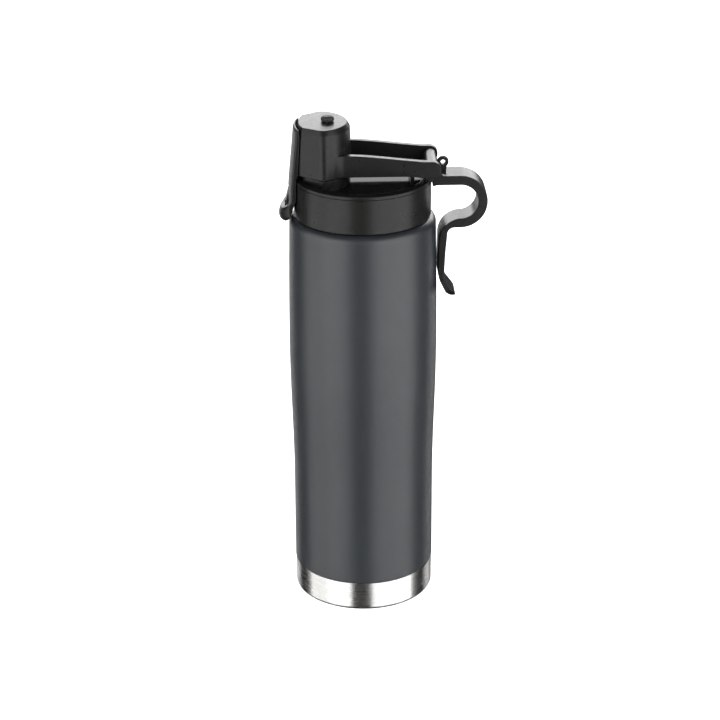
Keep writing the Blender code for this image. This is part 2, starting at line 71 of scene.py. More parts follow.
SHELL_LOW, SHELL_HIGH = span("outer_shell")
CUP_HIGH = span("base_cup")[1]
DISC_LOW, DISC_HIGH = span("base_disc")
FLASK_LOW, FLASK_HIGH = span("inner_flask")
RING_LOW, RING_HIGH = span("plug_o_ring")
GASKET_LOW, GASKET_HIGH = span("mouth_gasket")
PLUG_LOW, PLUG_HIGH = span("lid_plug")
COLLAR_LOW, COLLAR_HIGH = span("lid_collar")
LID_HIGH = span("lid_top")[1]
SPOUT_LOW, SPOUT_HIGH = span("spout")
WASHER_LOW, WASHER_HIGH = span("spout_gasket")
CAP_HIGH = span("flip_cap")[1]
SEAL_LOW, SEAL_HIGH = span("spout_seal")
STRAP_HIGH = span("latch_strap")[1]
HINGE_X, HINGE_Z = pivot("cap_flip")
LATCH_X, LATCH_Z = pivot("latch_swing")
SPOUT_X = (SPOUT_LOW.x + SPOUT_HIGH.x) / 2.0

# The flask's walls
BELLY_FROM_Z = 62.0
BELLY_Z = 134.0
SHOULDER_Z = 196.0
SHOULDER_TAPER = 0.7
SHOULDER_FILLET = 4.0
SEAT_Z = COLLAR_LOW.z - 0.4
FOOT_R = CUP_HIGH.x + 0.2
BELLY_R = SHELL_HIGH.x
WALL = 0.8

# The neck and its thread
MOUTH_Z = SHELL_HIGH.z
NECK_R = 28.9
THREAD_DEPTH = 0.9
THREAD_LEAD = 12.0
THREAD_STARTS = 2
THREAD_LOW_Z = SEAT_Z + 1.9
THREAD_HIGH_Z = MOUTH_Z - 0.9

# The lid
LID_R = COLLAR_HIGH.y
PARTING_Z = COLLAR_HIGH.z
DECK_Z = PARTING_Z - 0.5
UNDER_DECK_Z = PARTING_Z - 1.4
RIM_Z = PARTING_Z + 1.9
SPOUT_HOLE_R = 6.0

# The carry hook
HOOK_HALF_W = 7.5
LOOP_R = 13.2
LOOP_X = LID_HIGH.x - LOOP_R
LOOP_Z = HINGE_Z - 18.7
STRIP_T = 4.6

# The cap
ARM_IN_Y = 11.0
ARM_OUT_Y = 14.4
ARM_END_R = CAP_HIGH.x - HINGE_X
ARM_LOW_Z = HINGE_Z - 3.1
KNUCKLE_R = 3.2
HOUSING_Z = HINGE_Z - 3.4
SEAT_TOP_Z = HOUSING_Z - 0.5
ROOF_Z = CAP_HIGH.z
ROOF_EDGE_Z = ROOF_Z - 2.4
CAP_WALL = 1.6
CAP_WIDE_X = -19.2
PIN_HOLE_R = 1.8

# The latch strap
STRAP_HALF_W = STRAP_HIGH.y
STRAP_LIP_FROM_Z = 214.0
STRAP_LIP_R = 36.3
LATCH_HOLE_R = 0.9

# The camera, measured from the middle of the bottle's foot
CAMERA_AWAY = 1080.0
CAMERA_UP = 587.6
CAMERA_AZIMUTH = 2.2
CAMERA_PITCH = 23.26
CAMERA_ROLL = -0.2
CAMERA_LENS = 117.3
CAMERA_SHIFT = -0.0042


def arc(cx, cz, radius, start_deg, end_deg, steps):
    """Points along an arc, both ends included."""
    out = []
    for i in range(steps + 1):
        angle = math.radians(start_deg + (end_deg - start_deg) * i / steps)
        out.append((cx + radius * math.cos(angle), cz + radius * math.sin(angle)))
    return out


def smoothstep(t):
    """0 below 0, 1 above 1 and an S-curve between."""
    t = min(max(t, 0.0), 1.0)
    return t * t * (3.0 - 2.0 * t)


def corner_arc(before, corner, after, radius, steps):
    """Points of the arc that rounds a corner."""
    corner = Vector(corner)
    first = (Vector(before) - corner).normalized()
    second = (Vector(after) - corner).normalized()
    half = first.angle(second) / 2.0
    centre = corner + (first + second).normalized() * radius / math.sin(half)
    start = corner + first * radius / math.tan(half) - centre
    end = corner + second * radius / math.tan(half) - centre
    turn = math.atan2(start.x * end.y - start.y * end.x, start.dot(end))
    out = []
    for k in range(steps + 1):
        angle = turn * k / steps
        x = start.x * math.cos(angle) - start.y * math.sin(angle)
        y = start.x * math.sin(angle) + start.y * math.cos(angle)
        out.append((centre.x + x, centre.y + y))
    return out


def rounded(corners, step_deg=12.0):
    """Points of a closed outline given by corners (x, z, radius). A radius of 0 keeps the corner sharp."""
    out = []
    count = len(corners)
    for i, (x, z, radius) in enumerate(corners):
        if radius == 0.0:
            out.append((x, z))
            continue
        before = corners[i - 1][:2]
        after = corners[(i + 1) % count][:2]
        bend = math.pi - (Vector(before) - Vector((x, z))).angle(Vector(after) - Vector((x, z)))
        steps = max(2, math.ceil(bend / math.radians(step_deg) - 0.01))
        out += corner_arc(before, (x, z), after, radius, steps)
    return out


def through(points, per_span=6):
    """A smooth curve through points, ends included."""
    out = []
    last = len(points) - 1
    for i in range(last):
        before = Vector(points[max(i - 1, 0)])
        start = Vector(points[i])
        end = Vector(points[i + 1])
        after = Vector(points[min(i + 2, last)])
        for k in range(per_span):
            t = k / per_span
            pull = (end - before) * t + (before * 2.0 - start * 5.0 + end * 4.0 - after) * t * t
            pull += (start * 3.0 - before - end * 3.0 + after) * t * t * t
            out.append(tuple(start + pull * 0.5))
    return out + [tuple(points[-1])]


def inset(outline, distance):
    """The outline moved inwards by a distance."""
    count = len(outline)
    area = sum(
        outline[i - 1][0] * outline[i][1] - outline[i][0] * outline[i - 1][1] for i in range(count)
    )
    side = 1.0 if area > 0.0 else -1.0
    out = []
    for i in range(count):
        here = Vector(outline[i])
        back = (here - Vector(outline[i - 1])).normalized()
        ahead = (Vector(outline[(i + 1) % count]) - here).normalized()
        normal = Vector((-back.y - ahead.y, back.x + ahead.x)).normalized() * side
        stretch = max(0.5, normal.dot(Vector((-ahead.y, ahead.x)) * side))
        out.append(tuple(here + normal * distance / stretch))
    return out


def shade_smoothly(mesh, crisp_deg=CRISP_DEG):
    """Smooth shading with a crisp line where faces meet at more than an angle."""
    mesh.shade_smooth()
    mesh.set_sharp_from_angle(angle=math.radians(crisp_deg))


def add_mesh(name, points, faces):
    """A smooth-shaded mesh object from points in millimetres."""
    mesh = bpy.data.meshes.new(name)
    mesh.from_pydata([Vector(p) * MM for p in points], [], faces)
    shape = bmesh.new()
    shape.from_mesh(mesh)
    bmesh.ops.remove_doubles(shape, verts=shape.verts, dist=1e-7)
    bmesh.ops.recalc_face_normals(shape, faces=shape.faces)
    shape.to_mesh(mesh)
    shape.free()
    shade_smoothly(mesh)
    made = bpy.data.objects.new(name, mesh)
    bpy.context.scene.collection.objects.link(made)
    return made


def lofted(name, rings, closed=False):
    """A skin over rings with the same number of points. Its ends are capped unless it closes on itself."""
    count = len(rings[0])
    points = [point for ring in rings for point in ring]
    faces = []
    spans = len(rings) if closed else len(rings) - 1
    for row in range(spans):
        low = row * count
        high = (row + 1) % len(rings) * count
        for i in range(count):
            j = (i + 1) % count
            faces.append((low + i, low + j, high + j, high + i))
    if not closed:
        faces.append(tuple(range(count)))
        faces.append(tuple(range(len(points) - 1, len(points) - count - 1, -1)))
    return add_mesh(name, points, faces)


def lathed(name, profile, segments, centre_x=0.0):
    """A closed (radius, z) profile turned about a vertical axis. A radius of 0 is a point on the axis."""
    points = []
    faces = []
    rows = []
    for radius, z in profile:
        if radius == 0.0:
            rows.append([len(points)] * segments)
            points.append((centre_x, 0.0, z))
            continue
        rows.append(list(range(len(points), len(points) + segments)))
        for i in range(segments):
            angle = 2.0 * math.pi * i / segments
            points.append((centre_x + radius * math.cos(angle), radius * math.sin(angle), z))
    for k, row in enumerate(rows):
        following = rows[(k + 1) % len(rows)]
        if profile[k][0] == 0.0 and profile[(k + 1) % len(rows)][0] == 0.0:
            continue
        for i in range(segments):
            j = (i + 1) % segments
            corners = [row[i], row[j], following[j], following[i]]
            faces.append(tuple(dict.fromkeys(corners)))
    return add_mesh(name, points, faces)


def rim_rounds(outline, edge, steps):
    """The outline at steps round a rim of radius edge, as (share of the radius gone in, shrunk outline)."""
    out = []
    for k in range(steps + 1):
        angle = math.pi / 2.0 * k / steps
        out.append((1.0 - math.cos(angle), inset(outline, edge * (1.0 - math.sin(angle)))))
    return out


def prism(name, outline, low_y, high_y, edge=0.0):
    """An (x, z) outline drawn out along Y, with its two rims rounded."""
    if edge == 0.0:
        return lofted(name, [[(x, y, z) for x, z in outline] for y in (low_y, high_y)])
    rims = rim_rounds(outline, edge, 4)
    low_rings = [[(x, low_y + edge * depth, z) for x, z in shrunk] for depth, shrunk in rims]
    high_rings = [[(x, high_y - edge * depth, z) for x, z in shrunk] for depth, shrunk in rims]
    return lofted(name, low_rings + high_rings[::-1])


def box(name, low, high):
    """A block between two corners, used as a tool."""
    outline = [(low[0], low[2]), (high[0], low[2]), (high[0], high[2]), (low[0], high[2])]
    return prism(name, outline, low[1], high[1])


def cross_rod(name, x, z, radius, low_y, high_y, edge=0.0, steps=32):
    """A rod along Y."""
    return prism(name, arc(x, z, radius, 0, 360, steps)[:-1], low_y, high_y, edge)


def bake_modifiers(made):
    """Puts the shape that the modifiers make in place of the mesh."""
    bpy.context.view_layer.update()
    shaped = bpy.data.meshes.new_from_object(made.evaluated_get(bpy.context.evaluated_depsgraph_get()))
    made.modifiers.clear()
    old = made.data
    made.data = shaped
    bpy.data.meshes.remove(old)


def combined(made, tools, operation="UNION"):
    """The object with Booleans applied and its tools removed."""
    for tool in tools:
        cut = made.modifiers.new(tool.name, "BOOLEAN")
        cut.operation = operation
        cut.solver = "EXACT"
        cut.object = tool
        bake_modifiers(made)
        bpy.data.objects.remove(tool, do_unlink=True)
    shade_smoothly(made.data)
    return made


# Materials


class Surface:
    """A Principled material and short ways to add nodes to it."""

    def __init__(self, name, colour, roughness, metallic=0.0):
        """Starts with plain values on the shader's own sockets."""
        self.material = bpy.data.materials.new(name)
        self.material.use_nodes = True
        self.material.diffuse_color = (*colour, 1.0)
        self.tree = self.material.node_tree
        self.shader = self.tree.nodes["Principled BSDF"]
        self.shader.inputs["Base Color"].default_value = (*colour, 1.0)
        self.shader.inputs["Roughness"].default_value = roughness
        self.shader.inputs["Metallic"].default_value = metallic
        self.object_point = self.add("ShaderNodeTexCoord").outputs["Object"]

    def add(self, kind, **settings):
        """A new node with its settings."""
        node = self.tree.nodes.new(kind)
        for key, value in settings.items():
            setattr(node, key, value)
        return node

    def feed(self, socket, value):
        """Links an output to a socket, or sets a plain value on it."""
        if isinstance(value, bpy.types.NodeSocket):
            self.tree.links.new(value, socket)
        else:
            socket.default_value = value

    def math(self, operation, first, second=0.0):
        """The result of a sum on outputs or plain values."""
        node = self.add("ShaderNodeMath", operation=operation)
        self.feed(node.inputs[0], first)
        self.feed(node.inputs[1], second)
        return node.outputs[0]

    def noise(self, size_mm, detail, vector=None):
        """Noise from 0 to 1 whose features are about size_mm across."""
        node = self.add("ShaderNodeTexNoise")
        self.feed(node.inputs["Vector"], vector or self.object_point)
        node.inputs["Scale"].default_value = 1.0 / (size_mm * MM)
        node.inputs["Detail"].default_value = detail
        return node.outputs["Fac"]

    def ranged(self, value, low, high, from_low=0.3, from_high=0.7):
        """The value moved from one range to another."""
        node = self.add("ShaderNodeMapRange")
        self.feed(node.inputs["Value"], value)
        node.inputs["From Min"].default_value = from_low
        node.inputs["From Max"].default_value = from_high
        node.inputs["To Min"].default_value = low
        node.inputs["To Max"].default_value = high
        return node.outputs["Result"]

    def mixed(self, factor, first, second):
        """One colour turning into another."""
        node = self.add("ShaderNodeMix", data_type="RGBA")
        self.feed(node.inputs["Factor"], factor)
        for name, colour in (("A", first), ("B", second)):
            socket = next(s for s in node.inputs if s.name == name and s.type == "RGBA")
            self.feed(socket, colour if isinstance(colour, bpy.types.NodeSocket) else (*colour, 1.0))
        return next(s for s in node.outputs if s.type == "RGBA")

    def bump(self, height, depth_mm, under=None):
        """A bump of the given depth, on top of another if there is one."""
        node = self.add("ShaderNodeBump")
        self.feed(node.inputs["Height"], height)
        node.inputs["Distance"].default_value = depth_mm * MM
        node.inputs["Strength"].default_value = 1.0
        if under:
            self.feed(node.inputs["Normal"], under)
        return node.outputs["Normal"]

    def edges(self):
        """1 on convex edges and 0 elsewhere."""
        pointiness = self.add("ShaderNodeNewGeometry").outputs["Pointiness"]
        return self.ranged(pointiness, 0.0, 1.0, 0.52, 0.62)

    def set(self, name, value):
        """Feeds one of the shader's inputs."""
        self.feed(self.shader.inputs[name], value)


def tinted(colour, factor):
    """The colour made lighter or darker by a factor."""
    return tuple(min(1.0, channel * factor) for channel in colour)


def powder_coat():
    """Slate powder coat: a fine orange peel with a finer grain, and a faint rub at the lower edge."""
    colour = (0.019, 0.0215, 0.0255)
    look = Surface("slate_powder_coat", colour, 0.36)
    cloud = look.noise(22.0, 3.0)
    grain = look.noise(0.5, 2.0)
    shade = look.mixed(look.ranged(cloud, 0.0, 1.0), tinted(colour, 0.93), tinted(colour, 1.07))
    speckle = look.mixed(look.ranged(grain, 0.0, 0.35, 0.5, 0.75), shade, tinted(colour, 1.35))
    height = look.add("ShaderNodeSeparateXYZ")
    look.feed(height.inputs[0], look.object_point)
    low_z = SHELL_LOW.z * MM
    rub_reach = 0.9 * MM
    near_edge = look.ranged(height.outputs["Z"], 1.0, 0.0, low_z, low_z + rub_reach)
    rub = look.math("MULTIPLY", near_edge, look.ranged(look.noise(1.3, 3.0), 0.0, 0.7, 0.45, 0.65))
    look.set("Base Color", look.mixed(rub, speckle, tinted(colour, 1.9)))
    look.set("Roughness", look.ranged(look.noise(3.0, 3.0), 0.34, 0.4))
    peel = look.bump(look.noise(1.5, 2.0), 0.012)
    look.set("Normal", look.bump(grain, 0.006, under=peel))
    look.set("Specular IOR Level", 0.5)
    return look.material


def brushed_steel(name, colour=(0.66, 0.655, 0.64), roughness=0.26, line_mm=0.14, depth_mm=0.004):
    """Steel brushed round the bottle's axis, on walls and on flat faces alike."""
    look = Surface(name, colour, roughness, 1.0)
    parts = look.add("ShaderNodeSeparateXYZ")
    look.feed(parts.inputs[0], look.object_point)
    x_squared = look.math("MULTIPLY", parts.outputs["X"], parts.outputs["X"])
    y_squared = look.math("MULTIPLY", parts.outputs["Y"], parts.outputs["Y"])
    radius = look.math("SQRT", look.math("ADD", x_squared, y_squared))
    stretch = 0.006
    across = look.add("ShaderNodeCombineXYZ")
    look.feed(across.inputs["X"], look.math("MULTIPLY", parts.outputs["X"], stretch))
    look.feed(across.inputs["Y"], look.math("MULTIPLY", parts.outputs["Y"], stretch))
    look.feed(across.inputs["Z"], look.math("ADD", parts.outputs["Z"], radius))
    lines = look.noise(line_mm, 4.0, across.outputs["Vector"])
    broad = look.noise(line_mm * 9.0, 3.0, across.outputs["Vector"])
    shade = look.mixed(look.ranged(broad, 0.0, 1.0), tinted(colour, 0.93), tinted(colour, 1.05))
    look.set("Base Color", look.mixed(look.ranged(lines, 0.0, 0.4), shade, tinted(colour, 0.82)))
    smudge = look.ranged(look.noise(14.0, 3.0), -0.03, 0.05)
    streak = look.ranged(lines, roughness - 0.04, roughness + 0.06)
    look.set("Roughness", look.math("ADD", streak, smudge))
    look.set("Normal", look.bump(lines, depth_mm))
    look.set("Anisotropic", 0.75)
    look.set("Anisotropic Rotation", 0.25)
    tangent = look.add("ShaderNodeTangent", direction_type="RADIAL", axis="Z")
    look.set("Tangent", tangent.outputs["Tangent"])
    return look.material


def plain_metal(name, colour, roughness):
    """Small turned or drawn metal pieces."""
    look = Surface(name, colour, roughness, 1.0)
    patch = look.noise(2.5, 3.0)
    fine = look.noise(0.25, 3.0)
    shade = look.mixed(look.ranged(patch, 0.0, 1.0), tinted(colour, 0.85), tinted(colour, 1.08))
    look.set("Base Color", shade)
    look.set("Roughness", look.ranged(fine, roughness - 0.07, roughness + 0.09))
    look.set("Normal", look.bump(fine, 0.006))
    return look.material


def moulded_plastic(name, colour, roughness, grain_mm=0.3, grain_depth=0.006, gloss=0.22, sink_depth=0.012):
    """Injection-moulded plastic with a fine spark-eroded texture and lightly worn edges."""
    look = Surface(name, colour, roughness)
    grain = look.noise(grain_mm, 2.0)
    cloud = look.noise(12.0, 3.0)
    shade = look.mixed(look.ranged(cloud, 0.0, 1.0), tinted(colour, 0.9), tinted(colour, 1.1))
    worn = look.math("MULTIPLY", look.edges(), look.ranged(look.noise(1.8, 4.0), 0.1, 0.8, 0.4, 0.65))
    look.set("Base Color", look.mixed(worn, shade, tinted(colour, 1.7)))
    uneven = look.ranged(look.noise(2.2, 4.0), roughness * 0.9, roughness * 1.13)
    look.set("Roughness", look.math("ADD", uneven, look.math("MULTIPLY", worn, -0.15 * roughness)))
    look.set("Specular IOR Level", gloss)
    sink = look.bump(look.noise(7.0, 1.0), sink_depth)
    look.set("Normal", look.bump(grain, grain_depth, under=sink))
    return look.material


def silicone():
    """Black silicone: matte, with dust-fine grain."""
    colour = (0.012, 0.012, 0.0125)
    look = Surface("black_silicone_rubber", colour, 0.55)
    dust = look.noise(0.18, 3.0)
    bloom = look.noise(4.0, 3.0)
    shade = look.mixed(look.ranged(bloom, 0.0, 1.0), colour, tinted(colour, 1.5))
    look.set("Base Color", look.mixed(look.ranged(dust, 0.0, 0.5, 0.6, 0.8), shade, tinted(colour, 3.0)))
    look.set("Roughness", look.ranged(bloom, 0.48, 0.6))
    look.set("Normal", look.bump(dust, 0.008))
    look.set("Sheen Weight", 0.15)
    look.set("Sheen Roughness", 0.5)
    return look.material


PAINT = powder_coat()
FOOT_STEEL = brushed_steel("brushed_foot_steel")
INNER_STEEL = brushed_steel("satin_inner_steel", (0.6, 0.595, 0.58), 0.34, line_mm=0.3, depth_mm=0.006)
PIN_STEEL = plain_metal("turned_pin_steel", (0.6, 0.6, 0.59), 0.28)
DULL_METAL = plain_metal("dull_sealing_metal", (0.3, 0.3, 0.31), 0.5)
SATIN_BLACK = moulded_plastic("satin_black_plastic", (0.0105, 0.0105, 0.01), 0.3)
DECK_BLACK = moulded_plastic(
    "glossy_black_plastic",
    (0.007, 0.007, 0.007),
    0.08,
    grain_mm=0.5,
    grain_depth=0.0002,
    gloss=0.03,
    sink_depth=0.001,
)
LINER_GREY = moulded_plastic("grey_liner_plastic", (0.42, 0.42, 0.41), 0.42)
SILICONE = silicone()


def shade_evenly(made):
    """Lets the large faces set the normals along their rounded edges, so that flat faces look flat."""
    weighting = made.modifiers.new("even_shading", "WEIGHTED_NORMAL")
    weighting.keep_sharp = True
    bake_modifiers(made)


def dress(made, material, body, slot, *nodes):
    """Gives a piece its material and the body it rides on, and hides its CAD nodes. The slot is not used."""
    made.data.materials.clear()
    made.data.materials.append(material)
    shade_evenly(made)
    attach(made, body)
    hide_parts(*nodes)
    return made


# The flask


def wall_radius(z):
    """Outside of the painted wall: straight below, swelling to the belly, then drawn in to the shoulder."""
    swell = (BELLY_R - FOOT_R) * smoothstep((z - BELLY_FROM_Z) / (BELLY_Z - BELLY_FROM_Z))
    taper = SHOULDER_TAPER * max(0.0, (z - BELLY_Z) / (SHOULDER_Z - BELLY_Z)) ** 2
    return FOOT_R + swell - taper


def make_painted_wall():
    """The outer wall from the edge of the paint to the seat of the lid."""
    low = SHELL_LOW.z
    edge = 0.35
    gap = 0.6
    wall = arc(wall_radius(low) - edge, low + edge, edge, -90, 0, 4)
    rows = 44
    top = SEAT_Z - SHOULDER_FILLET
    for i in range(rows):
        z = low + edge + gap + (top - low - edge - 2.0 * gap) * i / rows
        wall.append((wall_radius(z), z))
    fillet_r = wall_radius(SHOULDER_Z) - SHOULDER_FILLET
    shoulder = arc(fillet_r, top, SHOULDER_FILLET, 0, 90, 16)
    hole_r = NECK_R + 0.2
    seat = [(hole_r + 0.5, SEAT_Z), (hole_r, SEAT_Z - 0.3), (hole_r, SEAT_Z - WALL)]
    inner = arc(fillet_r, top, SHOULDER_FILLET - WALL, 90, 0, 8)
    # Fewer rows will do on the inside, which is never seen.
    for z in (178.0, 155.0, BELLY_Z, 118.0, 104.0, 90.0, 76.0, BELLY_FROM_Z, low):
        inner.append((wall_radius(z) - WALL, z))
    made = lathed("painted_wall", wall + shoulder + seat + inner, 192)
    return dress(made, PAINT, "flask", "slate_paint", "outer_shell")


def thread_ridge(angle, z):
    """Height of the neck's thread, which fades out at both ends."""
    if not THREAD_LOW_Z < z < THREAD_HIGH_Z:
        return 0.0
    spacing = THREAD_LEAD / THREAD_STARTS
    run_out = 1.5
    crest_half_w = 0.4
    flank_w = 1.0
    along = (z - THREAD_LOW_Z - THREAD_LEAD * angle / (2.0 * math.pi)) % spacing
    off_crest = abs(along - spacing / 2.0)
    fade = smoothstep((z - THREAD_LOW_Z) / run_out) * smoothstep((THREAD_HIGH_Z - z) / run_out)
    return THREAD_DEPTH * fade * (1.0 - smoothstep((off_crest - crest_half_w) / flank_w))


def make_neck():
    """The bare neck with its rolled thread."""
    rows = 48
    low = SEAT_Z - WALL
    rise = (MOUTH_Z - SEAT_Z) / rows
    outside = [(NECK_R, low)] + [(NECK_R, SEAT_Z + rise * i) for i in range(rows + 1)]
    inside = [(NECK_R - WALL, MOUTH_Z), (NECK_R - WALL, low)]
    made = lathed("threaded_neck", outside + inside, 192)
    for vertex in made.data.vertices:
        reach = math.hypot(vertex.co.x, vertex.co.y) / MM
        if reach < NECK_R - 0.1:
            continue
        angle = math.atan2(vertex.co.y, vertex.co.x) % (2.0 * math.pi)
        grown = (reach + thread_ridge(angle, vertex.co.z / MM)) / reach
        vertex.co.x *= grown
        vertex.co.y *= grown
    shade_smoothly(made.data, 60.0)
    return dress(made, INNER_STEEL, "flask", "brushed_steel")


def make_steel_foot():
    """The bare steel cup with its rounded standing ring."""
    high = CUP_HIGH.z
    outer = CUP_HIGH.x
    recess_r = 27.2
    recess_z = 3.2
    floor_z = recess_z + WALL
    corners = [(0.0, recess_z, 0.0), (recess_r, recess_z, 0.4), (recess_r, 0.0, 0.55), (outer, 0.0, 1.9)]
    corners += [(outer, high, 0.25), (outer - WALL, high, 0.0), (outer - WALL, WALL, 1.2)]
    corners += [(recess_r + WALL, WALL, 0.0), (recess_r + WALL, floor_z, 0.0), (0.0, floor_z, 0.0)]
    made = lathed("steel_foot", rounded(corners, 9.0), 192)
    return dress(made, FOOT_STEEL, "flask", "brushed_steel", "base_cup")


def make_foot_disc():
    """The disc let into the foot, with a shallow ring pressed into it."""
    low = DISC_LOW.z
    high = DISC_HIGH.z
    reach = DISC_HIGH.x
    ring_r = 18.2
    ring_z = low + 0.3
    corners = [(0.0, low, 0.0), (ring_r - 1.2, low, 0.6), (ring_r - 0.6, ring_z, 0.4)]
    corners += [(ring_r + 0.6, ring_z, 0.4), (ring_r + 1.2, low, 0.6)]
    corners += [(reach, low, 0.35), (reach, high, 0.1), (0.0, high, 0.0)]
    made = lathed("foot_disc", rounded(corners), 128)
    return dress(made, FOOT_STEEL, "flask", "brushed_steel", "base_disc")


def make_inner_wall():
    """The inner bottle, with a rolled lip at the mouth."""
    top = FLASK_HIGH.z
    low = FLASK_LOW.z
    belly_r = FLASK_HIGH.x
    foot_r = belly_r - 1.4
    throat_r = 27.8
    bore_r = 26.8
    lip_z = top - 0.5
    corners = [(0.0, low, 0.0), (27.0, low, 8.0), (foot_r, low + 6.0, 4.0), (foot_r, BELLY_FROM_Z, 30.0)]
    corners += [(belly_r, BELLY_Z, 60.0), (belly_r - 0.4, 183.0, 12.0), (throat_r, 198.0, 6.0)]
    corners += [(throat_r, lip_z, 0.0), (NECK_R, lip_z, 0.2), (NECK_R, top, 0.25), (bore_r, top, 0.6)]
    corners += [(bore_r, 197.4, 6.0), (belly_r - 1.2, 182.4, 12.0), (belly_r - WALL, BELLY_Z, 60.0)]
    corners += [(foot_r - WALL, BELLY_FROM_Z, 30.0), (foot_r - WALL, low + 6.4, 4.0)]
    corners += [(26.4, low + WALL, 8.0), (0.0, low + WALL, 0.0)]
    made = lathed("inner_wall", rounded(corners, 6.0), 160)
    return dress(made, INNER_STEEL, "flask", "brushed_steel", "inner_flask")


# The lid


def spout_bore(name, low_z, high_z):
    """A tool that cuts the round hole under the spout."""
    profile = [(0.0, low_z), (SPOUT_HOLE_R, low_z), (SPOUT_HOLE_R, high_z), (0.0, high_z)]
    return lathed(name, profile, 64, SPOUT_X)


def make_o_ring():
    """The ring in the plug's groove."""
    section = (RING_HIGH.z - RING_LOW.z) / 2.0
    middle = (RING_HIGH.z + RING_LOW.z) / 2.0
    made = lathed("plug_ring", arc(RING_HIGH.x - section, middle, section, 0, 360, 20)[:-1], 128)
    return dress(made, SILICONE, "seal_ring", "black_silicone", "plug_o_ring")


def make_mouth_seal():
    """The flat ring that closes on the lip of the mouth."""
    edge = 0.2
    hole_r = 26.1
    corners = [(hole_r, GASKET_LOW.z, edge), (GASKET_HIGH.x, GASKET_LOW.z, edge)]
    corners += [(GASKET_HIGH.x, GASKET_HIGH.z, edge), (hole_r, GASKET_HIGH.z, edge)]
    made = lathed("mouth_seal", rounded(corners, 30.0), 128)
    return dress(made, SILICONE, "lid", "black_silicone", "mouth_gasket")


def make_plug():
    """The liner that goes down inside the neck."""
    low = PLUG_LOW.z
    high = PLUG_HIGH.z
    ceiling = high - 2.0
    flange = high - 1.2
    under_flange = flange - 0.7
    ring = (RING_HIGH.z + RING_LOW.z) / 2.0
    skirt_r = 25.6
    inside_r = 23.2
    groove_r = 24.7
    flange_r = 29.5
    corners = [(0.0, high, 0.0), (skirt_r, high, 0.0), (skirt_r, flange, 0.0), (flange_r, flange, 0.2)]
    corners += [(flange_r, under_flange, 0.2), (skirt_r, under_flange, 0.0), (skirt_r, ring + 1.15, 0.2)]
    corners += [(groove_r, ring + 1.1, 0.0), (groove_r, ring - 1.1, 0.0), (skirt_r, ring - 1.15, 0.2)]
    corners += [(skirt_r, low, 0.9), (inside_r, low, 0.6), (inside_r, ceiling, 1.0), (0.0, ceiling, 0.0)]
    made = lathed("plug_liner", rounded(corners), 144)
    combined(made, [spout_bore("plug_bore", 210.0, 220.0)], "DIFFERENCE")
    return dress(made, LINER_GREY, "lid", "grey_liner", "lid_plug")


def make_collar():
    """The skirt of the lid with its catch for the latch strap."""
    low = COLLAR_LOW.z
    top = PARTING_Z + 0.15
    web_top = PARTING_Z - 1.7
    web_low = PARTING_Z - 2.6
    bore_r = 30.8
    web_r = 26.0
    corners = [(bore_r, low, 0.5), (LID_R, low, 0.55), (LID_R, top, 0.1), (bore_r, top, 0.0)]
    corners += [(bore_r, web_top, 0.0), (web_r, web_top, 0.0), (web_r, web_low, 0.0), (bore_r, web_low, 0.6)]
    made = lathed("lid_skirt", rounded(corners), 192)
    root_x = -32.0
    reach_x = COLLAR_LOW.x
    catch_low = 207.7
    catch_high = 215.6
    half_w = 3.5
    side = [(root_x, catch_low, 0.0), (reach_x, catch_low, 0.7), (reach_x, catch_low + 1.9, 0.8)]
    side += [(-35.9, catch_high, 1.2), (root_x, catch_high, 0.0)]
    combined(made, [prism("catch", rounded(side), -half_w, half_w, 0.5)])
    return dress(made, SATIN_BLACK, "lid", "black_plastic", "lid_collar")


def hook_outline():
    """Side view of the carry hook: from its root on the lid round the loop to its tip, and back inside."""
    top = LOOP_Z + LOOP_R
    root_x = 30.0
    root_z = HINGE_Z - 2.0
    outside = [(41.1, 192.2), (40.7, 187.4), (40.2, 181.0), (39.9, 174.0), (39.95, 169.2), (41.3, 166.6)]
    inside = [(43.26, 159.6), (40.9, 161.5), (39.5, 163.9), (38.4, 166.2), (37.4, 168.6)]
    inside += [(36.85, 171.2), (36.7, 176.0), (36.85, 182.0), (37.0, 188.8)]
    out = [(root_x, PARTING_Z + 1.2), (root_x, root_z), (37.4, root_z)]
    out += arc(40.2, top + 2.8, 2.8, 180, 270, 12)
    out += arc(LOOP_X, LOOP_Z, LOOP_R, 90, -90, 48)
    out += arc(44.6, LOOP_Z - LOOP_R - 3.5, 3.5, 90, 180, 16)
    out += through(outside + [(43.3, 163.9), (45.1, 161.4)])[1:-1]
    out += arc(44.1, 160.6, 1.3, 40, -130, 14)
    out += through(inside)[1:-1]
    out += arc(48.4, 189.0, 11.4, 181, 97, 22)
    out += arc(LOOP_X, LOOP_Z, LOOP_R - STRIP_T, -90, 90, 40)
    out += arc(36.2, top - STRIP_T - 2.8, 2.8, 90, 125, 8)
    clear_x = LID_R + 0.35
    return out + [(clear_x, 217.2), (clear_x, PARTING_Z + 0.4), (LID_R - 0.4, PARTING_Z + 0.7)]


def hook_trims():
    """Tools that round the corners of the hook's tip."""
    corner_r = 5.0
    low_z = 159.0
    reach = HOOK_HALF_W + 0.1
    beyond = 2.0
    tip_x = (37.0, 50.0)
    for side, name in ((-1, "near"), (1, "far")):
        outline = arc(reach - corner_r, low_z + corner_r, corner_r, -90, 0, 20)
        outline += [(reach + beyond, low_z + corner_r), (reach + beyond, low_z - beyond)]
        outline.append((reach - corner_r, low_z - beyond))
        rings = [[(x, side * y, z) for y, z in outline] for x in tip_x]
        yield lofted(f"{name}_tip_trim", rings)


def make_knuckle():
    """The barrel between the arms, and its foot on the rim."""
    reach = ARM_IN_Y - 0.4
    foot_z = RIM_Z - 0.9
    side = [(29.4, foot_z), (33.0, foot_z), (35.0, 223.0)]
    return prism("knuckle", side + arc(HINGE_X, HINGE_Z, KNUCKLE_R, -35, 190, 40), -reach, reach, 0.4)


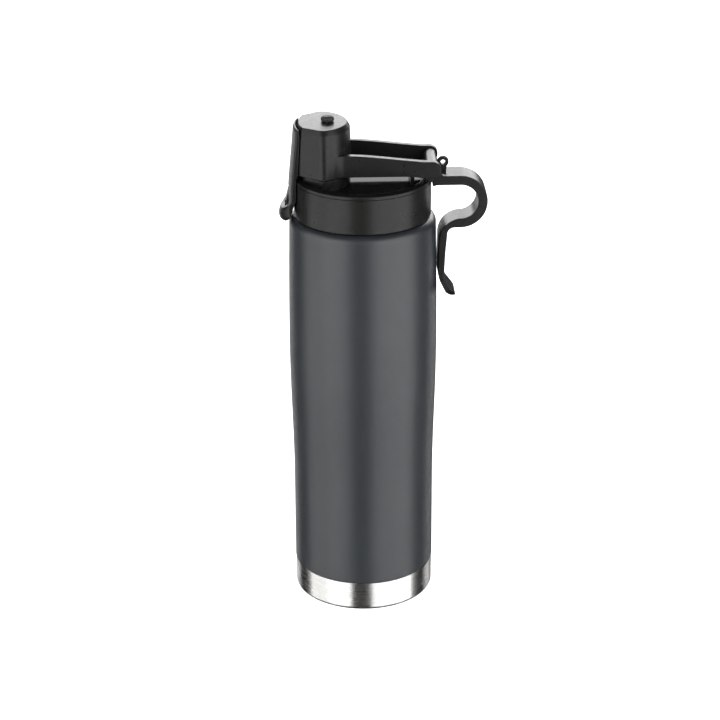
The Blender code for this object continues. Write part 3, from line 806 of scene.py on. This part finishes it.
def make_eye():
    """The small eye for a lanyard, over the hook's root. It comes with the tool for its hole."""
    x = 39.0
    z = HINGE_Z - 0.3
    foot_z = 221.8
    half_t = 1.1
    side = [(x - 1.4, foot_z), (x + 1.6, foot_z)] + arc(x, z, 2.8, -50, 220, 40)
    return prism("eye", side, -half_t, half_t, 0.5), cross_rod("eye_hole", x, z, 1.2, -3.0, 3.0)


def cap_plan(end_x, end_y, side_y, nose_x):
    """Plan of the housing: a broad arc towards the hinge, and a narrow curved end at the latch."""
    nose_r = side_y * 1.09
    nose = arc(nose_x - nose_r, 0.0, nose_r, -56, 56, 40)
    wide = (CAP_WIDE_X, side_y * 1.03)
    half_turn = math.degrees(math.asin(-end_y / end_x))
    corner_turn = 3.0
    end = arc(0.0, 0.0, -end_x, 180.0 - half_turn + corner_turn, 180.0 + half_turn - corner_turn, 24)
    narrow = (end_x * math.cos(math.radians(half_turn)), end_y)
    upper = corner_arc(nose[-1], wide, narrow, 5.0, 16) + corner_arc(wide, narrow, end[0], 0.9, 6)
    lower = [(x, -y) for x, y in reversed(upper)]
    return nose + upper + end + lower


def at_height(outline, z):
    """A plan lifted to a height."""
    return [(x, y, z) for x, y in outline]


def between_plans(low_plan, high_plan, share, z):
    """A plan part of the way from one to another, at a height."""
    ring = []
    for (low_x, low_y), (high_x, high_y) in zip(low_plan, high_plan):
        ring.append((low_x + (high_x - low_x) * share, low_y + (high_y - low_y) * share, z))
    return ring


def make_seat():
    """The low wall on the deck, which the housing of the cap comes down on."""
    outer = cap_plan(end_x=-30.2, end_y=9.2, side_y=17.9, nose_x=-5.8)
    inner = cap_plan(end_x=-28.7, end_y=8.2, side_y=16.5, nose_x=-7.1)
    low = DECK_Z - 0.4
    edge = 0.3
    rings = [at_height(outer, low), at_height(outer, SEAT_TOP_Z - edge)]
    rings += [at_height(inset(outer, 0.09), SEAT_TOP_Z - 0.09), at_height(inset(outer, edge), SEAT_TOP_Z)]
    rings += [at_height(inner, SEAT_TOP_Z), at_height(inner, low)]
    return lofted("seat", rings, closed=True)


def gloss_the_deck(mesh):
    """Gives the upward faces inside the rim the polished look of the deck."""
    level = 0.8
    mesh.materials.append(DECK_BLACK)
    for face in mesh.polygons:
        centre = face.center / MM
        inside_rim = math.hypot(centre.x, centre.y) < LID_R - 0.1
        if inside_rim and face.normal.z > level and centre.z < RIM_Z + 1.0:
            face.material_index = 1


def make_stop_wall():
    """The low wall between the arms, in front of the hinge."""
    low = DECK_Z - 0.4
    top = 227.0
    half_w = 9.2
    side = [(22.8, low, 0.0), (24.8, low, 0.0), (24.6, top, 0.5), (23.0, top, 0.5)]
    return prism("stop_wall", rounded(side), -half_w, half_w, 0.5)


def make_lid_deck():
    """The deck with the knuckle, the stop wall, the lanyard eye and the carry hook, in one moulding."""
    rim_low_z = PARTING_Z + 0.35
    spigot_r = 30.4
    corners = [(0.0, UNDER_DECK_Z, 0.0), (spigot_r, UNDER_DECK_Z, 0.0), (spigot_r, rim_low_z, 0.0)]
    corners += [(LID_R, rim_low_z, 0.08), (LID_R, RIM_Z, 0.5), (30.1, RIM_Z + 0.75, 0.7)]
    corners += [(28.6, DECK_Z, 0.6), (0.0, DECK_Z, 0.0)]
    made = lathed("lid_deck", rounded(corners), 192)
    hook = prism("hook", hook_outline(), -HOOK_HALF_W, HOOK_HALF_W, 0.5)
    combined(hook, hook_trims(), "DIFFERENCE")
    combined(made, [make_seat(), hook, make_knuckle(), make_stop_wall()])
    combined(made, [cross_rod("pin_hole", HINGE_X, HINGE_Z, PIN_HOLE_R, -12.0, 12.0)], "DIFFERENCE")
    eye, eye_hole = make_eye()
    combined(made, [eye])
    combined(made, [eye_hole, spout_bore("deck_bore", 210.0, 225.0)], "DIFFERENCE")
    dress(made, SATIN_BLACK, "lid", "black_plastic", "lid_top")
    gloss_the_deck(made.data)
    return made


def make_spout():
    """The drinking spout with its flange on the deck."""
    low = SPOUT_LOW.z
    top = SPOUT_HIGH.z
    flange = DECK_Z + 1.6
    bore_r = 4.2
    tube_r = 5.6
    corners = [(bore_r, low, 0.3), (tube_r, low, 0.3), (tube_r, flange, 0.0), (9.2, flange, 0.3)]
    corners += [(9.1, flange + 1.2, 0.4), (8.5, flange + 1.9, 1.0), (8.2, 238.0, 3.0), (7.8, top, 1.2)]
    corners += [(bore_r + 1.0, top, 1.0), (bore_r, 226.0, 4.0)]
    made = lathed("drink_spout", rounded(corners, 9.0), 128, SPOUT_X)
    return dress(made, SATIN_BLACK, "lid", "black_plastic", "spout")


def make_washer():
    """The washer under the spout's flange."""
    low = WASHER_LOW.z
    high = WASHER_HIGH.z
    hole_r = SPOUT_HOLE_R + 0.3
    reach = WASHER_HIGH.x - SPOUT_X
    corners = [(hole_r, low, 0.2), (reach, low, 0.25), (reach, high, 0.25), (hole_r, high, 0.2)]
    made = lathed("spout_washer", rounded(corners, 30.0), 96, SPOUT_X)
    return dress(made, SILICONE, "lid", "black_silicone", "spout_gasket")


# The cap


def stem_ring(outline, z, radius):
    """A circle about the seal's stem with a point towards each point of the plan."""
    out = []
    for x, y in outline:
        angle = math.atan2(y, x - SPOUT_X)
        out.append((SPOUT_X + radius * math.cos(angle), radius * math.sin(angle), z))
    return out


def make_housing():
    """The hollow housing, with a crisp chamfer round its roof."""
    foot = cap_plan(end_x=-32.5, end_y=9.6, side_y=18.5, nose_x=-5.4)
    edge = cap_plan(end_x=-31.4, end_y=11.3, side_y=17.8, nose_x=-5.9)
    roof = cap_plan(end_x=-30.7, end_y=10.5, side_y=16.2, nose_x=-7.4)
    hollow = cap_plan(end_x=-28.2, end_y=8.6, side_y=17.8 - CAP_WALL, nose_x=-5.9 - CAP_WALL)
    low = HOUSING_Z
    hole_r = 2.3
    under_roof = ROOF_Z - 2.6
    rings = [at_height(inset(foot, 0.35), low), at_height(inset(foot, 0.1), low + 0.1)]
    rings += [between_plans(foot, edge, 0.016, low + 0.35)]
    rings += [between_plans(foot, edge, 0.5, (low + ROOF_EDGE_Z) / 2.0)]
    rings += [between_plans(foot, edge, 0.99, ROOF_EDGE_Z - 0.22)]
    rings += [between_plans(edge, roof, 0.02, ROOF_EDGE_Z)]
    rings += [between_plans(edge, roof, 0.1, ROOF_EDGE_Z + 0.24)]
    rings += [between_plans(edge, roof, 0.93, ROOF_Z - 0.17)]
    rings += [at_height(inset(roof, 0.06), ROOF_Z - 0.04), at_height(inset(roof, 0.24), ROOF_Z)]
    rings += [stem_ring(roof, ROOF_Z, hole_r + 0.3), stem_ring(roof, ROOF_Z - 0.3, hole_r)]
    rings += [stem_ring(roof, under_roof, hole_r), at_height(inset(hollow, 1.0), under_roof)]
    rings += [at_height(hollow, under_roof - 1.0), at_height(hollow, low + 0.3)]
    rings += [between_plans(hollow, foot, 0.06, low)]
    return lofted("flip_housing", rings, closed=True)


def arm_top(x):
    """Height of an arm's upper edge: level at the housing and falling a little to the hinge."""
    level_z = HINGE_Z + 7.7
    fall = 3.8
    fall_from_x = -10.0
    fall_length = 48.0
    bend_length = 8.0
    falling = level_z - fall * smoothstep((x - fall_from_x) / fall_length)
    at_hinge = smoothstep((x - HINGE_X + bend_length) / bend_length)
    return falling * (1.0 - at_hinge) + (HINGE_Z + ARM_END_R) * at_hinge


def arm_bottom(x):
    """Height of an arm's lower edge: level, then down to the round end."""
    bend_length = 13.0
    drop = ARM_LOW_Z - HINGE_Z + ARM_END_R
    return ARM_LOW_Z - drop * smoothstep((x - HINGE_X + bend_length) / bend_length)


def arm_section(x, low, high):
    """Section of an arm across X. It spreads into the wall of the housing near its start."""
    spread_x = -9.0
    spread = 0.072
    hollow_end_x = -11.4
    slant = 1.15
    outer = ARM_OUT_Y + spread * max(0.0, spread_x - x) ** 2
    inner = ARM_IN_Y + slant * max(0.0, hollow_end_x - x)
    edge = min(0.32, 0.42 * (high - low))
    corners = [(inner, low), (outer, low), (outer, high), (inner, high)]
    section = []
    for i, corner in enumerate(corners):
        section += corner_arc(corners[i - 1], corner, corners[(i + 1) % 4], edge, 4)
    return section


def make_arm(side, name):
    """One arm from inside the housing's wall to its round end on the hinge."""
    start_x = -14.0
    straight = 70
    round_end = 20
    sections = []
    for i in range(straight):
        x = start_x + (HINGE_X - start_x) * i / straight
        sections.append((x, arm_section(x, arm_bottom(x), arm_top(x))))
    for i in range(round_end + 1):
        angle = math.radians(89.0 * i / round_end)
        x = HINGE_X + ARM_END_R * math.sin(angle)
        reach = ARM_END_R * math.cos(angle)
        sections.append((x, arm_section(x, HINGE_Z - reach, HINGE_Z + reach)))
    return lofted(name, [[(x, side * y, z) for y, z in section] for x, section in sections])


def latch_pockets():
    """Tools for the pockets in the end of the housing, where the strap's barrels and its coil lie."""
    reach = 1.9
    outside_x = -36.0
    for low_y, high_y, name in ((-7.8, -4.4, "near"), (-2.2, 2.2, "middle"), (4.4, 7.8, "far")):
        low = (outside_x, low_y, LATCH_Z - reach)
        yield box(f"{name}_pocket", low, (LATCH_X + reach, high_y, LATCH_Z + reach))


def make_cap():
    """The housing with its two arms and the pockets for the latch's pivot, in one moulding."""
    made = make_housing()
    combined(made, [make_arm(-1, "near_arm"), make_arm(1, "far_arm")])
    arm_hole = cross_rod("arm_hole", HINGE_X, HINGE_Z, PIN_HOLE_R, -ARM_OUT_Y + 1.0, ARM_OUT_Y - 1.0)
    pivot_hole = cross_rod("pivot_hole", LATCH_X, LATCH_Z, LATCH_HOLE_R, -5.0, 5.0)
    combined(made, list(latch_pockets()) + [arm_hole, pivot_hole], "DIFFERENCE")
    return dress(made, SATIN_BLACK, "cap", "black_plastic", "flip_cap")


def make_seal():
    """The silicone plug in the cap, with its knob on the roof."""
    low = SEAL_LOW.z
    top = SEAL_HIGH.z
    disc_low = low + 2.5
    disc_high = low + 4.7
    disc_r = 8.2
    stem_r = 2.0
    knob_z = ROOF_Z + 0.3
    knob_r = 3.2
    corners = [(0.0, low, 0.0), (3.4, low, 0.7), (4.4, disc_low, 0.3), (disc_r, disc_low, 0.3)]
    corners += [(disc_r, disc_high, 0.4), (stem_r, disc_high, 0.0), (stem_r, knob_z, 0.0)]
    corners += [(knob_r, knob_z, 0.35), (knob_r, knob_z + 1.6, 0.8), (2.1, top - 0.1, 0.8), (0.0, top, 0.0)]
    made = lathed("seal_plug", rounded(corners, 15.0), 72, SPOUT_X)
    return dress(made, SILICONE, "cap", "black_silicone", "spout_seal")


# The latch


def strap_point(reach, z, share):
    """A point of the strap. share runs from -1 to 1 across it, and its lip is rounded like a tongue."""
    lip_length = 10.0
    tongue = 4.2
    side_drawn_in = 0.75
    lip = smoothstep((STRAP_LIP_FROM_Z - z) / lip_length)
    lifted = z + tongue * lip * share * share
    beyond = max(0.0, reach - STRAP_LIP_R) * (1.0 - side_drawn_in * share * share)
    drawn_in = min(reach, STRAP_LIP_R) + beyond
    angle = math.pi + math.asin(STRAP_HALF_W / drawn_in) * share
    return (drawn_in * math.cos(angle), drawn_in * math.sin(angle), lifted)


def strap_outline():
    """Section of the strap as (radius, z): its outside, the thumb lip, and its inside."""
    outer = [(32.75, 247.3), (33.25, 246.5), (33.55, 245.2), (34.1, 238.6), (35.4, 225.0), (36.1, 216.5)]
    lip = [(36.4, 209.6), (37.0, 207.7), (38.4, 206.8), (40.1, 205.6), (40.8, 203.2), (40.3, 200.6)]
    lip += [(38.9, 199.2), (37.5, 199.2), (36.1, 201.2), (34.9, 205.4), (34.1, 209.0), (33.8, 212.0)]
    return through(outer + lip, 5) + [(33.8, 222.4), (32.9, 224.6), (31.85, 244.0), (32.3, 247.2)]


def make_strap():
    """The strap that reaches down over the catch, curved in plan round the lid, with a thumb lip."""
    outline = strap_outline()
    rim = 0.6
    steps = 32
    edge = []
    for depth, shrunk in rim_rounds(outline, rim, 5)[:-1]:
        edge.append((1.0 - rim / STRAP_HALF_W * depth, shrunk))
    inner_share = 1.0 - rim / STRAP_HALF_W
    middle = [(inner_share * (2.0 * k / steps - 1.0), outline) for k in range(steps + 1)]
    stations = [(-share, shrunk) for share, shrunk in edge] + middle + edge[::-1]
    rings = [[strap_point(r, z, share) for r, z in section] for share, section in stations]
    made = lofted("latch_clip", rings)
    barrel_r = 1.5
    barrels = []
    for side, name in ((-1, "near_barrel"), (1, "far_barrel")):
        low_y, high_y = sorted((side * 4.7, side * 7.4))
        barrels.append(cross_rod(name, LATCH_X, LATCH_Z, barrel_r, low_y, high_y, 0.25))
    combined(made, barrels)
    window_half_w = 4.2
    window = box("window", (-37.8, -window_half_w, 190.0), (-30.0, window_half_w, 217.2))
    coil_half_w = 2.2
    low = (LATCH_X - 1.75, -coil_half_w, LATCH_Z - 1.8)
    coil_pocket = box("coil_pocket", low, (LATCH_X + 1.8, coil_half_w, LATCH_Z + 1.8))
    bore = cross_rod("strap_bore", LATCH_X, LATCH_Z, LATCH_HOLE_R, -8.0, 8.0)
    combined(made, [window, coil_pocket, bore], "DIFFERENCE")
    return dress(made, SATIN_BLACK, "latch", "black_plastic", "latch_strap")


def make_spring():
    """The coil round the latch pin."""
    turns = 3
    per_turn = 40
    wire_sides = 12
    coil_r = 1.15
    wire_r = 0.22
    width = 3.2
    rings = []
    for i in range(turns * per_turn + 1):
        angle = 2.0 * math.pi * i / per_turn
        y = width * (i / (turns * per_turn) - 0.5)
        ring = []
        for k in range(wire_sides):
            around = 2.0 * math.pi * k / wire_sides
            reach = coil_r + wire_r * math.cos(around)
            x = LATCH_X + reach * math.cos(angle)
            z = LATCH_Z + reach * math.sin(angle)
            ring.append((x, y + wire_r * math.sin(around), z))
        rings.append(ring)
    made = lofted("latch_coil", rings)
    return dress(made, PIN_STEEL, "cap", "brushed_steel", "latch_spring")


def make_pins():
    """The hinge pin and the latch pin."""
    low, high = span("hinge_pin")
    made = cross_rod("cap_hinge_pin", HINGE_X, HINGE_Z, high.z - HINGE_Z, low.y, high.y, edge=0.3, steps=48)
    dress(made, PIN_STEEL, "cap", "brushed_steel", "hinge_pin")
    low, high = span("latch_pin")
    made = cross_rod("clip_pin", LATCH_X, LATCH_Z, high.z - LATCH_Z, low.y, high.y, edge=0.15)
    dress(made, PIN_STEEL, "cap", "brushed_steel", "latch_pin")


def finish_hidden_nodes():
    """Materials for the small CAD nodes that stay as they are."""
    for name in ("vacuum_seal", "getter"):
        node = frame["nodes"][name]
        node.data.materials.clear()
        node.data.materials.append(DULL_METAL)


# The studio


def stage_material(name, colour, strength):
    """An evenly glowing surface for the sweep and the panels."""
    look = Surface(name, colour, 0.9)
    tone = look.noise(160.0, 2.0)
    shade = look.mixed(look.ranged(tone, 0.0, 1.0), tinted(colour, 0.99), tinted(colour, 1.01))
    look.set("Base Color", shade)
    look.shader.inputs["Emission Color"].default_value = (*colour, 1.0)
    look.shader.inputs["Emission Strength"].default_value = strength
    return look.material


def make_sweep():
    """A pale floor that curves up into a wall all round."""
    flat_r = 2600.0
    bend = 900.0
    wall_r = flat_r + bend
    top = 3200.0
    thick = 60.0
    profile = [(0.0, 0.0), (flat_r, 0.0)] + arc(flat_r, bend, bend, -90, 0, 16)[1:]
    profile += [(wall_r, top), (wall_r + thick, top), (wall_r + thick, -thick), (0.0, -thick)]
    made = lathed("studio_sweep", profile, 96)
    made.data.materials.append(stage_material("pale_sweep", (0.86, 0.86, 0.86), 1.15))
    made.visible_glossy = False
    made.visible_diffuse = False
    made.visible_shadow = False


def make_panel(name, from_deg, to_deg, low_z, high_z, strength):
    """A curved soft light round the bottle. Degrees run from the camera, positive towards +X."""
    reach = 1500.0
    steps = 24
    points = []
    for i in range(steps + 1):
        angle = math.radians(from_deg + (to_deg - from_deg) * i / steps - CAMERA_AZIMUTH)
        for z in (low_z, high_z):
            points.append((reach * math.sin(angle), -reach * math.cos(angle), z))
    faces = [(2 * i, 2 * i + 2, 2 * i + 3, 2 * i + 1) for i in range(steps)]
    mesh = bpy.data.meshes.new(name)
    mesh.from_pydata([Vector(p) * MM for p in points], [], faces)
    made = bpy.data.objects.new(name, mesh)
    bpy.context.scene.collection.objects.link(made)
    mesh.materials.append(stage_material(name + "_glow", (1.0, 1.0, 1.0), strength))
    made.visible_camera = False


def make_light(name, place, aim, size, power):
    """A square soft light. Its place, aim and size are in metres and its power in watts."""
    data = bpy.data.lights.new(name, "AREA")
    data.shape = "SQUARE"
    data.size = size
    data.energy = power
    made = bpy.data.objects.new(name, data)
    made.location = Vector(place)
    made.rotation_euler = (Vector(aim) - Vector(place)).to_track_quat("-Z", "Y").to_euler()
    made.visible_camera = False
    bpy.context.scene.collection.objects.link(made)


def make_studio():
    """The sweep, the panels that the bottle mirrors, a soft light from above and a dim world."""
    make_sweep()
    low = -1000.0
    high = 1700.0
    make_panel("left_far_wall", -100.0, -62.0, low, high, 1.15)
    make_panel("left_softbox", -62.0, -20.5, low, high, 2.0)
    make_panel("right_softbox", 14.0, 87.0, low, high, 2.1)
    make_panel("left_back_wall", -172.0, -138.0, low, 100.0, 0.12)
    make_panel("right_back_wall", 124.0, 150.0, low, 100.0, 0.02)
    make_panel("back_softbox", 146.0, 214.0, 300.0, 1000.0, 3.9)
    make_light("top_light", place=(0.0, 1.2, 2.2), aim=(0.0, 0.0, 0.1), size=1.0, power=4.0)
    world = bpy.data.worlds.new("studio_world")
    world.use_nodes = True
    world.node_tree.nodes["Background"].inputs["Color"].default_value = (1.0, 1.0, 1.0, 1.0)
    world.node_tree.nodes["Background"].inputs["Strength"].default_value = 0.025
    bpy.context.scene.world = world
    bpy.context.scene.view_settings.view_transform = "Standard"


def make_camera():
    """The photograph's viewpoint: a long lens, looking down a little."""
    data = bpy.data.cameras.new("camera")
    data.lens = CAMERA_LENS
    data.shift_x = CAMERA_SHIFT
    made = bpy.data.objects.new("camera", data)
    azimuth = math.radians(CAMERA_AZIMUTH)
    x = -CAMERA_AWAY * math.sin(azimuth)
    y = -CAMERA_AWAY * math.cos(azimuth)
    made.location = Vector((x, y, CAMERA_UP)) * MM
    turn = Matrix.Rotation(-azimuth, 3, "Z")
    tilt = Matrix.Rotation(math.radians(90.0 - CAMERA_PITCH), 3, "X")
    roll = Matrix.Rotation(math.radians(CAMERA_ROLL), 3, "Z")
    made.rotation_euler = (turn @ tilt @ roll).to_euler()
    bpy.context.scene.collection.objects.link(made)
    bpy.context.scene.camera = made


def main():
    """Everything in the scene, from the foot up."""
    make_camera()
    make_studio()
    make_painted_wall()
    make_neck()
    make_steel_foot()
    make_foot_disc()
    make_inner_wall()
    make_o_ring()
    make_mouth_seal()
    make_plug()
    make_collar()
    make_lid_deck()
    make_spout()
    make_washer()
    make_cap()
    make_seal()
    make_strap()
    make_spring()
    make_pins()
    finish_hidden_nodes()


main()
